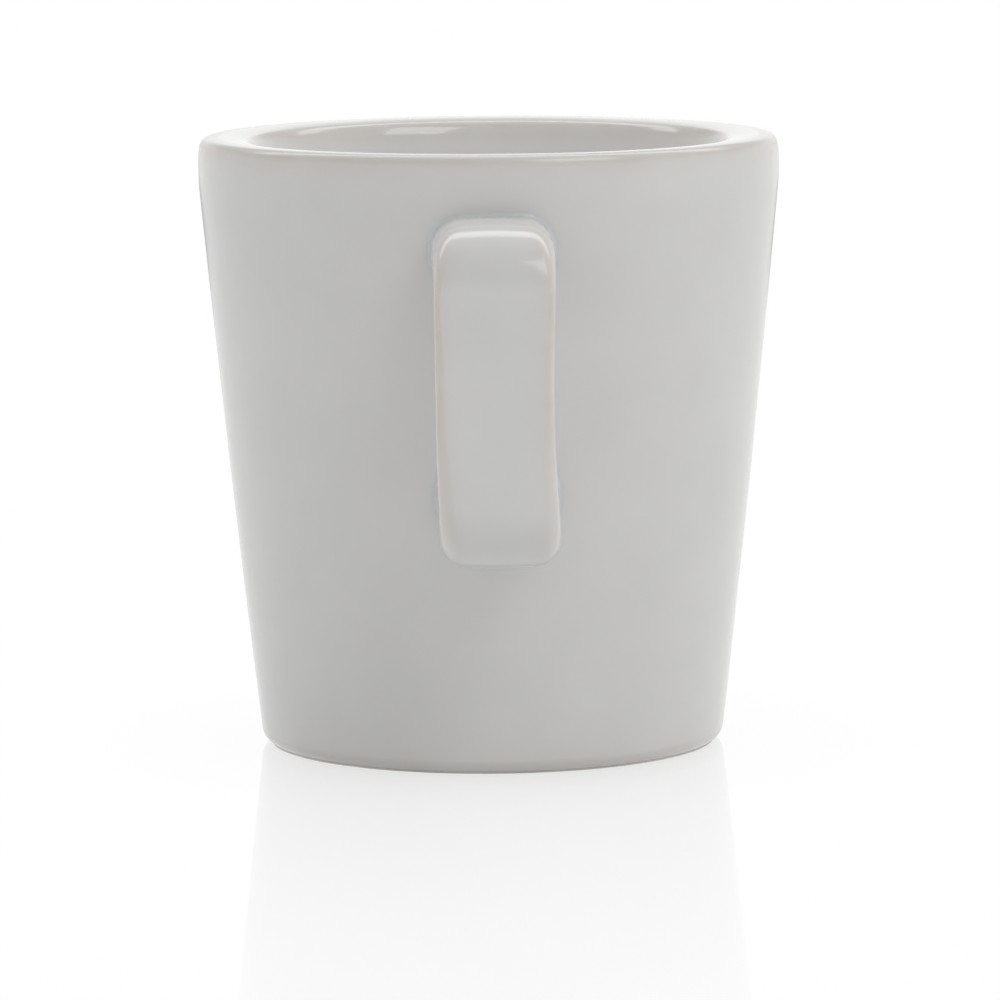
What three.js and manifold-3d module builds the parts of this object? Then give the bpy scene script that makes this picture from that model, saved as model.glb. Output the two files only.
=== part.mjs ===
import * as THREE from 'three';
import { mergeVertices } from 'three/addons/utils/BufferGeometryUtils.js';
import Module from 'manifold-3d';

// A conical coffee mug with a squared loop handle, in millimetres, +Z up.
// It stands on z = 0 with the handle toward -Y. Sizes are those of the glazed mug. The clay lies
// one coat of glaze below each glazed surface, which the functions below call the inset.

// Cup
const mugHeight = 95.2;
const rimDiameter = 91.8; // the outside wall's line, carried up to the rim plane
const baseDiameter = 72.2; // the same line, carried down to the table
const wallBow = 0.3; // swell of the outside wall past a straight cone, at half height
const rimThickness = 9.6; // between the outside and inside wall lines at the rim plane
const wallAtFloor = 8; // the wall at the height of the inside floor
const floorThickness = 8; // table to inside floor
const lipReach = 3; // half width of the squared-off oval that the lip follows on the outside
const lipHeight = 4.9; // half height of the same oval
const lipSquareness = 4.5; // 2 is a plain oval
const lipFall = 0.45; // how far the lip falls from its crest to its inside edge
const innerLipReach = 2.2; // how far the inside edge of the lip is rounded back
const innerLipHeight = 6; // and how far down
const insideCornerRound = 9;

// Base
const baseRound = 2.6;
const glazeLineAngle = 58; // degrees down the base round, where the glaze is wiped off
const footWidth = 5;
const recessDepth = 2; // table to the glazed underside
const recessFlare = 1.5; // how far the recess narrows from its mouth to its ceiling

// Handle
const handleDrop = 9.7; // rim plane to the top of the upper arm at the wall
const upperArmRise = 0.3; // climb of the upper arm from the wall to the grip
const lowerArmFall = 3.6; // fall of the lower arm from the wall to the grip
const handleThickness = 8;
const gripWidth = 17.7;
const rootWidth = 18.2;
const fingerDepth = 19.5; // clear space from the wall to the grip at the upper arm
const fingerHeight = 34.8; // clear space between the arms at the grip
const handleOuterRound = 9.5;
const handleInnerRound = 4;
const gripEdgeRound = 2;
const armOuterEdge = 3.9; // rounding of the arms' edges on the outer side
const armFingerEdge = 2.2; // and on the finger side
const rootFillet = 1.2;

// Coat
const glazeThickness = 0.4;

// Fineness of the facets
const turnSegments = 48;
const wallSteps = 4;
const roundSteps = 4;
const lipSteps = 6;
const landSteps = 3;
const edgeSteps = 3;
const hitPasses = 6; // rounds of the search for the wall, each some twenty times closer

const clay = { color: 0xe6dfd3, roughness: 0.85, metalness: 0 };
const slip = { color: 0xddd5c7, roughness: 0.9, metalness: 0 };
const glaze = { color: 0xf2f1ed, roughness: 0.12, metalness: 0 };

const wasm = await Module();
wasm.setup();

const rightAngle = Math.PI / 2;

// The outside wall: a cone with a slight swell
function wallRadius(z) {
  const t = z / mugHeight;
  const cone = THREE.MathUtils.lerp(baseDiameter / 2, rimDiameter / 2, t);
  return cone + wallBow * 4 * t * (1 - t);
}

function wallLean(z) {
  const t = z / mugHeight;
  const coneSlope = (rimDiameter - baseDiameter) / 2 / mugHeight;
  return Math.atan(coneSlope + wallBow * 4 * (1 - 2 * t) / mugHeight);
}

// The inside wall: a straight cone
const insideRimRadius = rimDiameter / 2 - rimThickness;
const insideFloorRadius = wallRadius(floorThickness) - wallAtFloor;
const insideLean = Math.atan((insideRimRadius - insideFloorRadius) / (mugHeight - floorThickness));

function insideRadius(z) {
  return insideFloorRadius + (z - floorThickness) * Math.tan(insideLean);
}

// Points of an oval from one angle to another, counted from the outward direction.
// The reach is its half width and half height. A squareness above 2 fills out its corners.
function oval(centre, reach, squareness, from, to, steps) {
  const fill = (share) => Math.sign(share) * Math.abs(share) ** (2 / squareness);
  return Array.from({ length: steps + 1 }, (_, i) => {
    const angle = THREE.MathUtils.lerp(from, to, i / steps);
    return new THREE.Vector2(fill(Math.cos(angle)), fill(Math.sin(angle))).multiply(reach).add(centre);
  });
}

function arc(centre, radius, from, to, steps) {
  return oval(centre, new THREE.Vector2(radius, radius), 2, from, to, steps);
}

// Angle round an oval at which its surface leans by the given angle
function leanAngle(lean, reach, squareness) {
  const slope = Math.tan(lean) * reach.y / reach.x;
  return Math.atan(slope ** (squareness / 2 / (squareness - 1)));
}

// Centre of a round that touches the outside wall at the given height
function outsideRoundCentre(z, radius) {
  return new THREE.Vector2(wallRadius(z) - radius / Math.cos(wallLean(z)), z);
}

const baseCentre = outsideRoundCentre(baseRound, baseRound);
const glazeLine = -THREE.MathUtils.degToRad(glazeLineAngle);

// The lip's oval starts where it leans as the wall does, and ends at its crest
const lipOval = new THREE.Vector2(lipReach, lipHeight);
const lipMiddle = mugHeight - lipHeight;
const lipStart = -leanAngle(wallLean(lipMiddle), lipOval, lipSquareness);
const [lipFoot] = oval(new THREE.Vector2(0, lipMiddle), lipOval, lipSquareness, lipStart, lipStart, 1);
const lipCentre = new THREE.Vector2(wallRadius(lipFoot.y) - lipFoot.x, lipMiddle);

// From its crest the lip curves down to its rounded inside edge, which ends where it leans as the
// inside wall does
const innerOval = new THREE.Vector2(innerLipReach, innerLipHeight);
const landWidth = lipCentre.x - insideRimRadius - innerLipReach;
const landSlope = 2 * lipFall / landWidth;
const innerStart = rightAngle + Math.atan(landSlope * innerLipReach / innerLipHeight);
const innerMiddle = mugHeight - lipFall - innerLipHeight * Math.sin(innerStart);
const innerEnd = Math.PI - leanAngle(insideLean, innerOval, 2);
const [innerFoot] = oval(new THREE.Vector2(0, innerMiddle), innerOval, 2, innerEnd, innerEnd, 1);
const innerCentre = new THREE.Vector2(insideRadius(innerFoot.y) - innerFoot.x, innerMiddle);

function shrunk(reach, inset) {
  return reach.clone().subScalar(inset);
}

// Outside of the cup from the glaze line at the foot up to the crest of the lip
function outsideProfile(inset) {
  const baseLean = -wallLean(baseCentre.y);
  const low = arc(baseCentre, baseRound - inset, glazeLine, baseLean, roundSteps);
  const high = oval(lipCentre, shrunk(lipOval, inset), lipSquareness, lipStart, rightAngle, lipSteps);
  const bottom = baseCentre.y + baseRound * Math.sin(baseLean);
  const top = lipFoot.y;
  const wall = Array.from({ length: wallSteps - 1 }, (_, i) => {
    const z = THREE.MathUtils.lerp(bottom, top, (i + 1) / wallSteps);
    const lean = wallLean(z);
    return new THREE.Vector2(wallRadius(z) - inset * Math.cos(lean), z + inset * Math.sin(lean));
  });
  return [...low, ...wall, ...high];
}

// Inside of the cup from the crest of the lip down to the middle of the floor
function insideProfile(inset) {
  const cornerZ = floorThickness + insideCornerRound;
  const cornerX = insideRadius(cornerZ) - insideCornerRound / Math.cos(insideLean);
  const corner = new THREE.Vector2(cornerX, cornerZ);
  const edge = oval(innerCentre, shrunk(innerOval, inset), 2, innerStart, innerEnd, lipSteps);
  const land = Array.from({ length: landSteps }, (_, i) => {
    const t = i / landSteps;
    const crest = mugHeight - inset;
    const x = THREE.MathUtils.lerp(lipCentre.x, edge[0].x, t);
    return new THREE.Vector2(x, THREE.MathUtils.lerp(crest, edge[0].y, t * t));
  });
  return [
    ...land,
    ...edge,
    ...arc(corner, insideCornerRound + inset, -insideLean, -rightAngle, roundSteps),
    new THREE.Vector2(0, floorThickness - inset),
  ];
}

// A turned solid, from a profile that starts and ends on the axis or closes on itself
function turned(profile) {
  return new THREE.LatheGeometry(profile, turnSegments).rotateX(rightAngle);
}

function solidOf(geometry) {
  const bare = geometry.clone();
  bare.deleteAttribute('normal');
  bare.deleteAttribute('uv');
  const merged = mergeVertices(bare);
  const corners = merged.index.array;
  const triVerts = [];
  for (let i = 0; i < corners.length; i += 3) {
    const [a, b, c] = corners.slice(i, i + 3);
    if (a !== b && b !== c && c !== a) triVerts.push(a, b, c);
  }
  return new wasm.Manifold(new wasm.Mesh({
    numProp: 3,
    vertProperties: new Float32Array(merged.attributes.position.array),
    triVerts: new Uint32Array(triVerts),
  }));
}

function geometryOf(solid) {
  const { vertProperties, triVerts } = solid.getMesh();
  const geometry = new THREE.BufferGeometry();
  geometry.setAttribute('position', new THREE.BufferAttribute(vertProperties, 3));
  geometry.setIndex(new THREE.BufferAttribute(triVerts, 1));
  geometry.computeVertexNormals();
  return geometry;
}

// The handle's side view, in distance from the cup's axis and height.
// Each outer face of the strap is a line, kept as its outward normal and its distance along it.
const topAtWall = mugHeight - handleDrop;
const wallAtTop = wallRadius(topAtWall);
const gripFace = wallAtTop + fingerDepth + handleThickness;
const topAtGrip = topAtWall + upperArmRise;
const bottomAtGrip = topAtGrip - fingerHeight - 2 * handleThickness;
const bottomAtWall = bottomAtGrip + lowerArmFall;
const upperTilt = Math.atan2(upperArmRise, gripFace - wallAtTop);
const lowerTilt = Math.atan2(lowerArmFall, gripFace - wallRadius(bottomAtWall));

function faceLine(angle, point) {
  const normal = new THREE.Vector2(Math.cos(angle), Math.sin(angle));
  return { angle, normal, distance: normal.dot(point) };
}

const upperFace = faceLine(rightAngle + upperTilt, new THREE.Vector2(gripFace, topAtGrip));
const frontFace = faceLine(0, new THREE.Vector2(gripFace, topAtGrip));
const lowerFace = faceLine(-rightAngle - lowerTilt, new THREE.Vector2(gripFace, bottomAtGrip));

// Where two faces meet once both are moved inward by a depth
function meet(one, two, depth) {
  const p = one.distance - depth;
  const q = two.distance - depth;
  const cross = one.normal.cross(two.normal);
  const x = (p * two.normal.y - q * one.normal.y) / cross;
  const y = (q * one.normal.x - p * two.normal.x) / cross;
  return new THREE.Vector2(x, y);
}

// Rounding of the strap's edges, from the arms at 0 to the grip at 1
function edgesAt(t) {
  return {
    outer: THREE.MathUtils.lerp(armOuterEdge, gripEdgeRound, t),
    finger: THREE.MathUtils.lerp(armFingerEdge, gripEdgeRound, t),
  };
}

// One slice across the strap: points with their outward normals in the slice's own plane,
// x across the strap and q from the finger side to the outer side
function slice(width, thickness, edges, inset) {
  return [[1, 1], [-1, 1], [-1, -1], [1, -1]].flatMap(([sideX, sideQ], corner) => {
    const round = sideQ > 0 ? edges.outer : edges.finger;
    const radius = round - inset;
    const centre = new THREE.Vector2(sideX * (width / 2 - round), sideQ * (thickness / 2 - round));
    const from = corner * rightAngle;
    return arc(centre, radius, from, from + rightAngle, edgeSteps).map((point) => ({
      point,
      normal: point.clone().sub(centre).divideScalar(radius),
    }));
  });
}

// A point of the side view, moved sideways by x, in the mug's own frame
function place(x, side) {
  return new THREE.Vector3(x, -side.x, side.y);
}

// Slices round one corner of the handle, from one face to the next
function cornerRings(one, two, edgesOf, inset) {
  const outerCentre = meet(one, two, handleOuterRound);
  const innerCentre = meet(one, two, handleThickness + handleInnerRound);
  return Array.from({ length: roundSteps + 1 }, (_, i) => {
    const t = i / roundSteps;
    const angle = THREE.MathUtils.lerp(one.angle, two.angle, t);
    const normal = new THREE.Vector2(Math.cos(angle), Math.sin(angle));
    const outer = outerCentre.clone().addScaledVector(normal, handleOuterRound);
    const inner = innerCentre.clone().addScaledVector(normal, handleInnerRound);
    const across = outer.clone().sub(inner);
    const middle = inner.clone().lerp(outer, 1 / 2);
    const thickness = across.length();
    across.normalize();
    return slice(gripWidth, thickness, edgesOf(t), inset).map(({ point }) =>
      place(point.x, middle.clone().addScaledVector(across, point.y)));
  });
}

// Slices of one end of the strap where it flares onto the wall, from the strap to inside the wall
function rootRings(face, inset) {
  const outward = new THREE.Vector2(face.normal.y, -face.normal.x);
  if (outward.x < 0) outward.negate();
  const start = face.normal.clone().multiplyScalar(face.distance - handleThickness / 2);
  const fillet = rootFillet + inset;
  const outline = slice(rootWidth, handleThickness, edgesAt(0), inset);
  const ring = (spread, height) => outline.map(({ point, normal }) => {
    const { x, y: q } = point.clone().addScaledVector(normal, spread);
    const level = start.clone().addScaledVector(face.normal, q);
    const hit = level.clone();
    for (let pass = 0; pass < hitPasses; pass += 1) {
      const radius = wallRadius(hit.y) - inset / Math.cos(wallLean(hit.y));
      const run = (Math.sqrt(radius * radius - x * x) - level.x) / outward.x;
      hit.copy(level).addScaledVector(outward, run);
    }
    return place(x, hit.addScaledVector(outward, height));
  });
  const steps = arc(new THREE.Vector2(fillet, fillet), fillet, Math.PI, Math.PI + rightAngle, roundSteps);
  const last = steps[roundSteps];
  const sunk = last.clone().multiplyScalar(2).sub(steps[roundSteps - 1]);
  return [...steps, sunk].map(({ x: spread, y: height }) => ring(spread, height));
}

function handleRings(inset) {
  const upperRoot = rootRings(upperFace, inset);
  const lowerRoot = rootRings(lowerFace, inset);
  const bends = [
    ...cornerRings(upperFace, frontFace, edgesAt, inset),
    ...cornerRings(frontFace, lowerFace, (t) => edgesAt(1 - t), inset),
  ];
  return { upperRoot, lowerRoot, strap: [upperRoot[0], ...bends, lowerRoot[0]] };
}

// A closed solid through a row of rings with equal numbers of points
function loft(rings) {
  const count = rings[0].length;
  const index = [];
  for (let i = 0; i < rings.length - 1; i += 1) {
    for (let j = 0; j < count; j += 1) {
      const a = i * count + j;
      const b = i * count + (j + 1) % count;
      index.push(a, b, b + count, a, b + count, a + count);
    }
  }
  const end = (rings.length - 1) * count;
  for (let j = 1; j < count - 1; j += 1) {
    index.push(0, j + 1, j, end, end + j, end + j + 1);
  }
  const geometry = new THREE.BufferGeometry().setFromPoints(rings.flat());
  geometry.setIndex(index);
  geometry.computeVertexNormals();
  return geometry;
}

// Clay
const clayOutside = outsideProfile(glazeThickness);
const clayInside = insideProfile(glazeThickness);
const footRadius = clayOutside[0].x;
const recessMouth = footRadius - footWidth;
const recessRadius = recessMouth - recessFlare;
const clayUnderside = recessDepth + glazeThickness;

const bodyGeometry = turned([
  new THREE.Vector2(0, clayUnderside),
  new THREE.Vector2(recessRadius, clayUnderside),
  new THREE.Vector2(recessRadius, recessDepth),
  new THREE.Vector2(recessMouth, 0),
  new THREE.Vector2(footRadius, 0),
  ...clayOutside,
  ...clayInside,
]);

// The cup's outer shape without its hollow, for trimming what is stuck onto it
const clayCup = solidOf(turned([
  new THREE.Vector2(0, 0),
  new THREE.Vector2(footRadius, 0),
  ...clayOutside,
  new THREE.Vector2(0, mugHeight - glazeThickness),
]));

const clayRings = handleRings(glazeThickness);
const handleGeometry = loft(clayRings.strap);
const upperCollar = solidOf(loft([...clayRings.upperRoot].reverse())).subtract(clayCup);
const lowerCollar = solidOf(loft(clayRings.lowerRoot)).subtract(clayCup);

// Glaze
function wholeHandle({ upperRoot, strap, lowerRoot }) {
  const upper = upperRoot.slice(1).reverse();
  return solidOf(loft([...upper, ...strap, ...lowerRoot.slice(1)]));
}

const outsideRing = [...outsideProfile(0), ...[...clayOutside].reverse()];
const outsideCoat = solidOf(turned([...outsideRing, outsideRing[0]]))
  .add(wholeHandle(handleRings(0)))
  .subtract(wholeHandle(clayRings))
  .subtract(clayCup);

const insideGeometry = turned([...[...clayInside].reverse(), ...insideProfile(0)]);

const baseGlazeGeometry = turned([
  new THREE.Vector2(0, recessDepth),
  new THREE.Vector2(recessRadius, recessDepth),
  new THREE.Vector2(recessRadius, clayUnderside),
  new THREE.Vector2(0, clayUnderside),
]);

const mug = new THREE.Group();
mug.name = 'coffee_mug';

function addPart(name, geometry, finish) {
  const mesh = new THREE.Mesh(geometry, new THREE.MeshStandardMaterial(finish));
  mesh.name = name;
  mug.add(mesh);
}

addPart('mug_body', bodyGeometry, clay);
addPart('handle', handleGeometry, clay);
addPart('upper_handle_joint', geometryOf(upperCollar), slip);
addPart('lower_handle_joint', geometryOf(lowerCollar), slip);
addPart('outside_glaze', geometryOf(outsideCoat), glaze);
addPart('inside_glaze', insideGeometry, glaze);
addPart('base_glaze', baseGlazeGeometry, glaze);

// The frame's origin is the middle of the space that the mug takes up on the table
const backOfRim = lipCentre.x + lipReach;
mug.position.y = (gripFace - backOfRim) / 2;

export default mug;
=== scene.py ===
import math

import bpy
import numpy as np
from mathutils import Matrix, Vector, noise


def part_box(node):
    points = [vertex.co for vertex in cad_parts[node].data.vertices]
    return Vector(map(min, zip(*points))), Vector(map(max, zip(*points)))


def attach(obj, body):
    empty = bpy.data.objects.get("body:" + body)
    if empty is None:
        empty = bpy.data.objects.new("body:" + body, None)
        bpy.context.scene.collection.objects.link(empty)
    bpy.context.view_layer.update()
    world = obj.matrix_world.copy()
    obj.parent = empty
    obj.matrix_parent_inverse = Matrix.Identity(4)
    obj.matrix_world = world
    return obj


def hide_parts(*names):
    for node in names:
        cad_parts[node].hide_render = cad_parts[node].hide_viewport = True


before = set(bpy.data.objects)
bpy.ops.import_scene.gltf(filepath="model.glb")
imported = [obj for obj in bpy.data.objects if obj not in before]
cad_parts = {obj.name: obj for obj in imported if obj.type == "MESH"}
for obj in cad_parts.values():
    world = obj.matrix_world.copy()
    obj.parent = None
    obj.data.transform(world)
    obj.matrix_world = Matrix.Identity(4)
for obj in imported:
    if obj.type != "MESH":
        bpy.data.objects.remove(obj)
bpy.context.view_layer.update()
print("frame loaded:", ", ".join(sorted(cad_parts)))

mm = 0.001
halfTurn = math.pi
quarterTurn = math.pi / 2


def lerp(a, b, t):
    return a + (b - a) * t


def ease(low, high, value):  # 0 below low, 1 above high, smooth between
    t = min(1, max(0, (value - low) / (high - low)))
    return t * t * (3 - 2 * t)


def spread(a, b, steps):  # evenly from a to b, without b
    return [lerp(a, b, i / steps) for i in range(steps)]


# The thrown cup, as its glazed surface: metres, and the solids' sizes except at the wiped foot
cup = {
    "height": 95.2 * mm,
    "rimRadius": 45.9 * mm,  # the outside wall's line, carried up to the rim plane
    "baseRadius": 36.1 * mm,  # the same line, carried down to the table
    "wallBow": 0.3 * mm,
    "rimThickness": 9.6 * mm,
    "wallAtFloor": 8 * mm,
    "floorThickness": 8 * mm,
    "lipReach": 3 * mm,  # half width and half height of the squared-off oval of the lip
    "lipHeight": 4.9 * mm,
    "lipSquareness": 4.5,
    "lipFall": 0.45 * mm,  # from the crest of the lip to its inside edge
    "innerLipReach": 2.2 * mm,  # the rounded inside edge of the lip
    "innerLipHeight": 6 * mm,
    "insideCornerRound": 9 * mm,
    "baseRound": 2.6 * mm,
    "glazeLineAngle": 68,  # degrees down the base round
    "footWidth": 5 * mm,
    "footEdge": 0.08 * mm,
    "footFlare": 0.3 * mm,  # how far the wiped foot stands out past the coat's own inner edge
    "recessDepth": 2 * mm,
    "recessFlare": 1.5 * mm,
    "glazeThickness": 0.4 * mm,
    "glazeBead": 0.03 * mm,  # swell of the coat's edge at the foot
}
bodyLow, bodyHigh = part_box("mug_body")
axisY = (bodyLow.y + bodyHigh.y) / 2


def wallRadius(z):
    t = z / cup["height"]
    return lerp(cup["baseRadius"], cup["rimRadius"], t) + cup["wallBow"] * 4 * t * (1 - t)


def wallLean(z):
    t = z / cup["height"]
    cone = (cup["rimRadius"] - cup["baseRadius"]) / cup["height"]
    return math.atan(cone + cup["wallBow"] * 4 * (1 - 2 * t) / cup["height"])


insideRim = cup["rimRadius"] - cup["rimThickness"]
insideFloor = wallRadius(cup["floorThickness"]) - cup["wallAtFloor"]
insideLean = math.atan((insideRim - insideFloor) / (cup["height"] - cup["floorThickness"]))


def insideRadius(z):
    return insideFloor + (z - cup["floorThickness"]) * math.tan(insideLean)


def onCup(radius, angle, z):  # angle 0 is toward the handle, and grows toward +X
    return Vector((radius * math.sin(angle), axisY - radius * math.cos(angle), z))


def onWall(angle, z, inset):
    return onCup(wallRadius(z) - inset / math.cos(wallLean(z)), angle, z)


def arcPoint(centre, radius, angle):
    return Vector((centre.x + radius * math.cos(angle), centre.y + radius * math.sin(angle)))


def roundCentre(z, radius):  # centre of a round that touches the outside wall at that height
    return Vector((wallRadius(z) - radius / math.cos(wallLean(z)), z))


def ovalPoint(centre, reach, squareness, angle):  # squareness 2 is a plain oval, more fills out its corners
    power = 2 / squareness
    x = math.copysign(abs(math.cos(angle)) ** power, math.cos(angle))
    z = math.copysign(abs(math.sin(angle)) ** power, math.sin(angle))
    return Vector((centre.x + reach[0] * x, centre.y + reach[1] * z))


def leanAngle(lean, reach, squareness):  # where an oval leans by that much
    return math.atan((math.tan(lean) * reach[1] / reach[0]) ** (squareness / 2 / (squareness - 1)))


def evenly(points, steps):  # points along a curve, closer together where it bends
    track = np.array([p[:] for p in points])
    run = np.diff(track, axis=0)
    length = np.hypot(run[:, 0], run[:, 1])
    heading = np.unwrap(np.arctan2(run[:, 1], run[:, 0]))
    bend = np.abs(np.diff(heading, prepend=heading[0]))
    pace = np.concatenate([[0], np.cumsum(length / length.sum() + bend / bend.sum())])
    stops = np.linspace(0, pace[-1], steps + 1)
    outward, upward = [np.interp(stops, pace, track[:, axis]) for axis in (0, 1)]
    return [Vector(point) for point in zip(outward, upward)]


baseCentre = roundCentre(cup["baseRound"], cup["baseRound"])
wallBottom = baseCentre.y - cup["baseRound"] * math.sin(wallLean(baseCentre.y))
lipOval = (cup["lipReach"], cup["lipHeight"])
lipMiddle = cup["height"] - cup["lipHeight"]
lipStart = -leanAngle(wallLean(lipMiddle), lipOval, cup["lipSquareness"])
lipFoot = ovalPoint(Vector((0, lipMiddle)), lipOval, cup["lipSquareness"], lipStart)
wallTop = lipFoot.y
lipCentre = Vector((wallRadius(wallTop) - lipFoot.x, lipMiddle))
innerOval = (cup["innerLipReach"], cup["innerLipHeight"])
landWidth = lipCentre.x - insideRim - cup["innerLipReach"]
landSlope = 2 * cup["lipFall"] / landWidth
innerStart = quarterTurn + math.atan(landSlope * cup["innerLipReach"] / cup["innerLipHeight"])
innerMiddle = cup["height"] - cup["lipFall"] - cup["innerLipHeight"] * math.sin(innerStart)
innerEnd = halfTurn - leanAngle(insideLean, innerOval, 2)
innerFoot = ovalPoint(Vector((0, innerMiddle)), innerOval, 2, innerEnd)
innerCentre = Vector((insideRadius(innerFoot.y) - innerFoot.x, innerMiddle))

# The strap handle, drawn in side view as distance from the cup's axis and height
handle = {
    "drop": 9.7 * mm,  # rim plane to the top of the upper arm at the wall
    "upperRise": 0.3 * mm,
    "lowerFall": 3.6 * mm,
    "thickness": 8 * mm,
    "gripWidth": 17.9 * mm,
    "rootWidth": 18.2 * mm,
    "fingerDepth": 19.5 * mm,
    "fingerHeight": 34.8 * mm,
    "outerRound": 9.5 * mm,
    "innerRound": 4 * mm,
    "gripEdge": (1.6 * mm, 2 * mm, 0.12 * mm),  # outer edges, finger edges and the swell of the flat faces
    "upperEdge": (3.9 * mm, 2.2 * mm, 0.7 * mm),  # the same along the arms
    "lowerEdge": (3.9 * mm, 2.2 * mm, 0.5 * mm),
    "upperCorner": (0.9 * mm, 2.2 * mm, 0.7 * mm),  # the same where the bends run into the grip
    "lowerCorner": (2.4 * mm, 2.2 * mm, 0.45 * mm),
    "cornerFade": 0.4,  # share of the grip over which the corners' edges turn into its own
    "rootFillet": 0.8 * mm,
    "upperAside": -0.25 * mm,  # the handle was stuck on a little askew
    "lowerAside": 0.42 * mm,
    "swayOver": (0.02, 0.42),  # shares of the grip's height between which it goes from lower to upper
    "bowAside": -0.17 * mm,
    "bowFrom": 0.2,  # share of the grip's height where the bow starts
    "waist": 0.55 * mm,  # narrowing at the middle of the grip
}
topAtWall = cup["height"] - handle["drop"]
gripFace = wallRadius(topAtWall) + handle["fingerDepth"] + handle["thickness"]
topAtGrip = topAtWall + handle["upperRise"]
bottomAtGrip = topAtGrip - handle["fingerHeight"] - 2 * handle["thickness"]
bottomAtWall = bottomAtGrip + handle["lowerFall"]
upperTilt = math.atan2(handle["upperRise"], gripFace - wallRadius(topAtWall))
lowerTilt = math.atan2(handle["lowerFall"], gripFace - wallRadius(bottomAtWall))


def faceLine(angle, point):  # an outer face, kept as its outward normal and its distance along it
    normal = Vector((math.cos(angle), math.sin(angle)))
    return {"angle": angle, "normal": normal, "distance": normal.dot(point)}


upperFace = faceLine(quarterTurn + upperTilt, Vector((gripFace, topAtGrip)))
frontFace = faceLine(0, Vector((gripFace, topAtGrip)))
lowerFace = faceLine(-quarterTurn - lowerTilt, Vector((gripFace, bottomAtGrip)))


def meet(one, two, depth):  # where two faces meet once both are moved inward
    p = one["distance"] - depth
    q = two["distance"] - depth
    n, m = one["normal"], two["normal"]
    cross = n.x * m.y - n.y * m.x
    return Vector(((p * m.y - q * n.y) / cross, (q * n.x - p * m.x) / cross))


def place(x, side):  # a point of the side view, moved sideways
    return Vector((x, axisY - side.x, side.y))


def gripShare(z):  # 0 at the lower arm, 1 at the upper arm
    return min(1, max(0, (z - bottomAtGrip) / (topAtGrip - bottomAtGrip)))


def swayAt(z):
    t = gripShare(z)
    bowed = max(0, t - handle["bowFrom"]) / (1 - handle["bowFrom"])
    bow = handle["bowAside"] * math.sin(halfTurn * bowed) ** 2
    return lerp(handle["lowerAside"], handle["upperAside"], ease(*handle["swayOver"], t)) + bow


def gripWidthAt(z):
    t = gripShare(z)
    return handle["gripWidth"] - handle["waist"] * math.sin(halfTurn * t) ** 2


# How finely the rounds and faces are cut
fine = {
    "edge": 5,  # half of a rounded edge of the strap
    "across": 10,
    "through": 4,
    "bend": 18,
    "grip": 22,
    "arm": 8,
    "flare": 12,
    "blend": 5,  # from the flare out to the wall's own grid
    "around": 108,  # the cup beyond the handle's columns
    "lip": 32,
    "innerLip": 16,
    "land": 8,
    "ovalSearch": 400,
    "base": 14,
    "wallBelow": 13,
    "wallBetween": 7,
    "inside": 16,
    "floor": 8,
    "bead": 4,
    "recess": 4,
    "rootCap": 4,
    "wallSearch": 8,
}
sideCounts = [2 * fine["edge"] + fine["across"], 2 * fine["edge"] + fine["through"]]


def strapSlice(width, thickness, edges, inset):
    # A ring of (x, q, and the outward normal): x across the strap, q from the finger side outward,
    # starting in the middle of the rounded edge at +x +q
    outer, finger, swell = edges
    corners = []
    for sideX, sideQ, edge in ((1, 1, outer), (-1, 1, outer), (-1, -1, finger), (1, -1, finger)):
        corners.append((sideX * (width / 2 - edge), sideQ * (thickness / 2 - edge), edge - inset))

    def onEdge(corner, angle):
        cx, cq, radius = corners[corner % 4]
        nx, nq = math.cos(angle), math.sin(angle)
        return cx + radius * nx, cq + radius * nq, nx, nq

    ring = []
    for corner in range(4):
        middle = (corner + 0.5) * quarterTurn
        face = (corner + 1) * quarterTurn
        ring += [onEdge(corner, angle) for angle in spread(middle, face, fine["edge"])]
        count = fine["across"] if corner % 2 == 0 else fine["through"]
        start, end = onEdge(corner, face), onEdge(corner + 1, face)
        for t in spread(0, 1, count):
            ring.append(tuple(lerp(a, b, t) for a, b in zip(start, end)))
        ring += [onEdge(corner + 1, angle) for angle in spread(face, face + quarterTurn / 2, fine["edge"])]
    return [(x, q + swell * nq * (1 - (2 * x / width) ** 2), nx, nq) for x, q, nx, nq in ring]


def bendStations(one, two, edgeFrom, edgeTo):  # slices round one corner, from one face to the next
    outerCentre = meet(one, two, handle["outerRound"])
    innerCentre = meet(one, two, handle["thickness"] + handle["innerRound"])
    stations = []
    for i in range(fine["bend"] + 1):
        t = i / fine["bend"]
        angle = lerp(one["angle"], two["angle"], t)
        outer = arcPoint(outerCentre, handle["outerRound"], angle)
        inner = arcPoint(innerCentre, handle["innerRound"], angle)
        across = outer - inner
        edges = tuple(lerp(a, b, t) for a, b in zip(edgeFrom, edgeTo))
        stations.append(((outer + inner) / 2, across.normalized(), across.length, edges))
    return stations


def stationRing(station, inset):
    middle, across, thickness, edges = station
    width = gripWidthAt(middle.y)
    ring = []
    for x, q, _, _ in strapSlice(width, thickness, edges, inset):
        side = middle + across * q
        ring.append(place(x + swayAt(side.y), side))
    return ring


def wallHit(x, level, outward, inset):  # from a point of the side view, along the arm to the wall
    hit = level.copy()
    for _ in range(fine["wallSearch"]):
        radius = wallRadius(hit.y) - inset / math.cos(wallLean(hit.y))
        run = (math.sqrt(radius * radius - x * x) - level.x) / outward.x
        hit = level + outward * run
    return hit


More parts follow.
